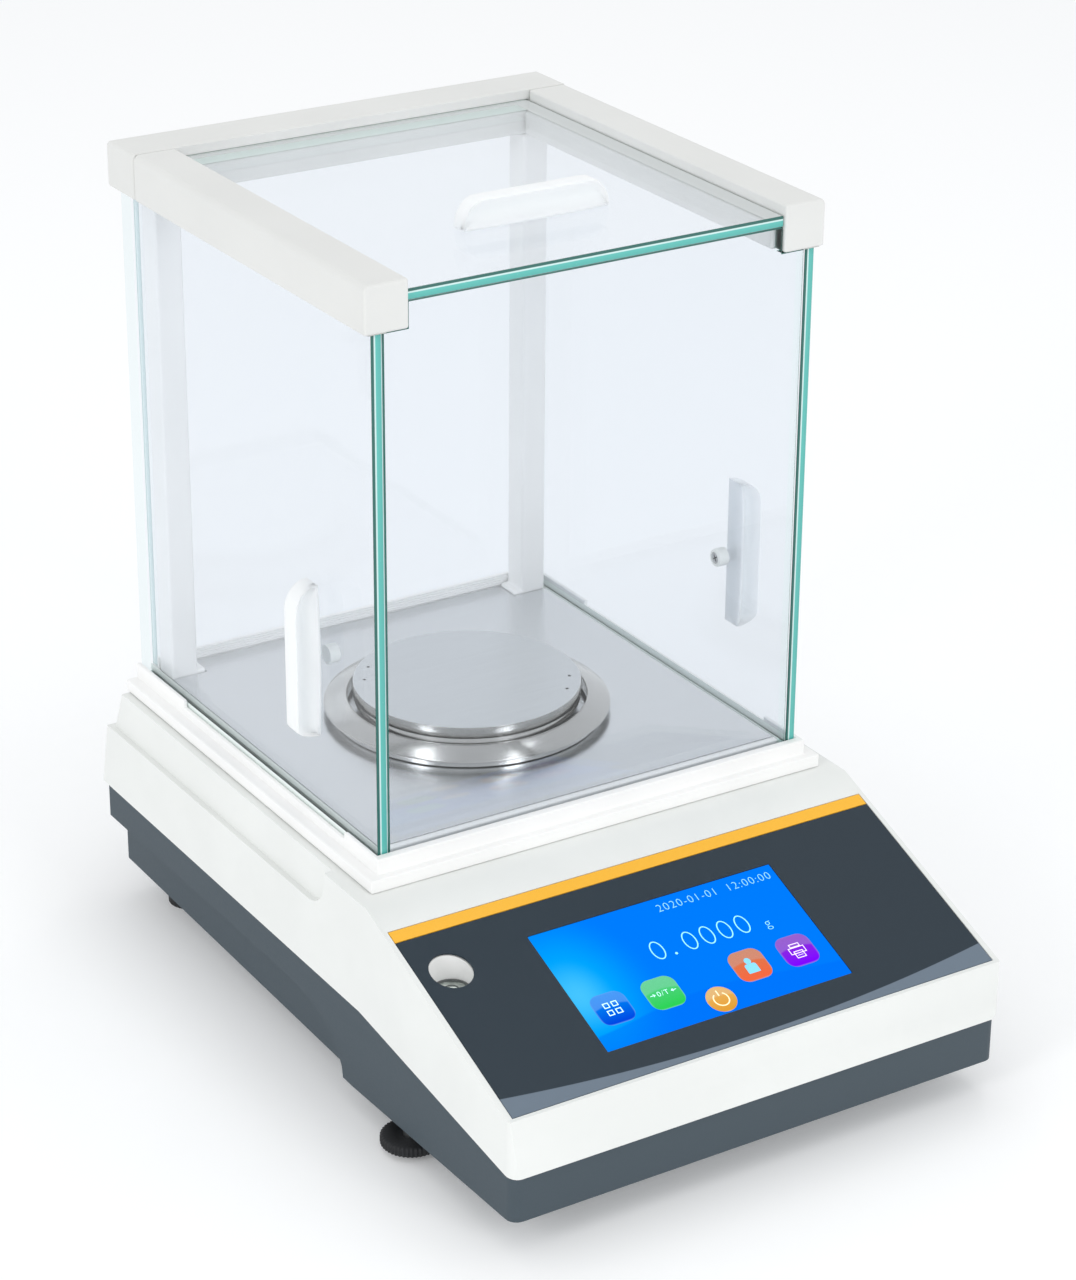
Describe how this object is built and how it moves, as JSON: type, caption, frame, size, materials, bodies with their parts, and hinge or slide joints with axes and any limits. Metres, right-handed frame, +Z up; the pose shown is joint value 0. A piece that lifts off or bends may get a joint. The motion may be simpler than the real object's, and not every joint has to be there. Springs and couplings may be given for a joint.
{
  "type": "analytical balance",
  "caption": "Laboratory analytical balance with a sloping touch console and a glass draft shield whose side and top panes slide back around a round weighing pan.",
  "frame": {"origin": "on the table, under the middle of the overall box", "axes": "+Z up, +Y towards the back where the doors slide and the connectors are, +X towards the right side seen from the console"},
  "size_m": [0.2232, 0.3206, 0.3273],
  "materials": {
    "slate_paint": "fine matt slate grey paint on the lower chassis",
    "white_plastic": "smooth white moulding with a soft sheen",
    "overlay_film": "dark slate film over the console",
    "orange_film": "flat warm orange film",
    "screen_glass": "glossy blue touch screen",
    "black_plastic": "black moulding",
    "vial_glass": "liquid-filled vial with a dark rim",
    "clear_glass": "clear float glass with green edges",
    "satin_steel": "satin stainless sheet",
    "polished_steel": "polished stainless steel",
    "zinc_steel": "bright zinc-plated steel",
    "rubber_pad": "matt black rubber",
    "aluminium_block": "machined aluminium",
    "board_laminate": "green circuit board"
  },
  "bodies": {
    "base": {"lower_chassis": "slate_paint", "upper_housing": "white_plastic", "console_overlay": "overlay_film", "accent_stripe": "orange_film", "touch_screen": "screen_glass", "display_module": "black_plastic", "level_well": "white_plastic", "level_vial": "vial_glass", "plinth_frame": "white_plastic", "floor_plate": "satin_steel", "rear_sill": "white_plastic", "rear_top_rail": "white_plastic", "front_glass": "clear_glass", "rear_glass": "clear_glass", "right_top_rail": "white_plastic", "right_rear_post": "white_plastic", "left_top_rail": "white_plastic", "left_rear_post": "white_plastic", "right_rear_foot": "rubber_pad", "left_rear_foot": "rubber_pad", "load_receiver": "aluminium_block", "load_cell": "aluminium_block", "cell_base": "aluminium_block", "main_board": "board_laminate", "rear_panel": "black_plastic", "power_socket": "black_plastic", "serial_port": "zinc_steel", "chassis_screw_front_left": "zinc_steel", "chassis_screw_front_right": "zinc_steel", "chassis_screw_rear_left": "zinc_steel", "chassis_screw_rear_right": "zinc_steel"},
    "left_door": {"left_door_glass": "clear_glass", "left_door_handle": "white_plastic", "left_door_knob": "white_plastic"},
    "right_door": {"right_door_glass": "clear_glass", "right_door_handle": "white_plastic", "right_door_knob": "white_plastic"},
    "top_door": {"top_door_glass": "clear_glass", "top_door_handle": "white_plastic"},
    "pan": {"weighing_pan": "satin_steel", "pan_carrier": "polished_steel"},
    "ring": {"draft_ring": "polished_steel"},
    "left_foot": {"left_foot_pad": "rubber_pad"},
    "left_thumbwheel": {"left_foot_wheel": "black_plastic", "left_foot_stud": "zinc_steel"},
    "right_foot": {"right_foot_pad": "rubber_pad"},
    "right_thumbwheel": {"right_foot_wheel": "black_plastic", "right_foot_stud": "zinc_steel"}
  },
  "joints": [
    {"name": "left_door_slide", "type": "slide", "parent": "base", "child": "left_door", "axis": [0, 1, 0], "range_m": [0, 0.125]},
    {"name": "right_door_slide", "type": "slide", "parent": "base", "child": "right_door", "axis": [0, 1, 0], "range_m": [0, 0.125]},
    {"name": "top_door_slide", "type": "slide", "parent": "base", "child": "top_door", "axis": [0, 1, 0], "range_m": [0, 0.124]},
    {"name": "pan_lift", "type": "slide", "parent": "base", "child": "pan", "axis": [0, 0, 1], "range_m": [0, 0.05]},
    {"name": "ring_lift", "type": "slide", "parent": "base", "child": "ring", "axis": [0, 0, 1], "range_m": [0, 0.03]},
    {"name": "left_foot_travel", "type": "slide", "parent": "base", "child": "left_foot", "axis": [0, 0, 1], "range_m": [-0.002, 0.002]},
    {"name": "left_thumbwheel_turn", "type": "hinge", "parent": "left_foot", "child": "left_thumbwheel", "pos_m": [-0.1, -0.07915, 0.004], "axis": [0, 0, 1], "range_deg": [-576, 576]},
    {"name": "right_foot_travel", "type": "slide", "parent": "base", "child": "right_foot", "axis": [0, 0, 1], "range_m": [-0.002, 0.002]},
    {"name": "right_thumbwheel_turn", "type": "hinge", "parent": "right_foot", "child": "right_thumbwheel", "pos_m": [0.1, -0.07915, 0.004], "axis": [0, 0, 1], "range_deg": [-576, 576]}
  ],
  "couplings": [
    {"joint": "left_foot_travel", "follows": "left_thumbwheel_turn", "m_per_rad": 0.00019894},
    {"joint": "right_foot_travel", "follows": "right_thumbwheel_turn", "m_per_rad": 0.00019894}
  ]
}
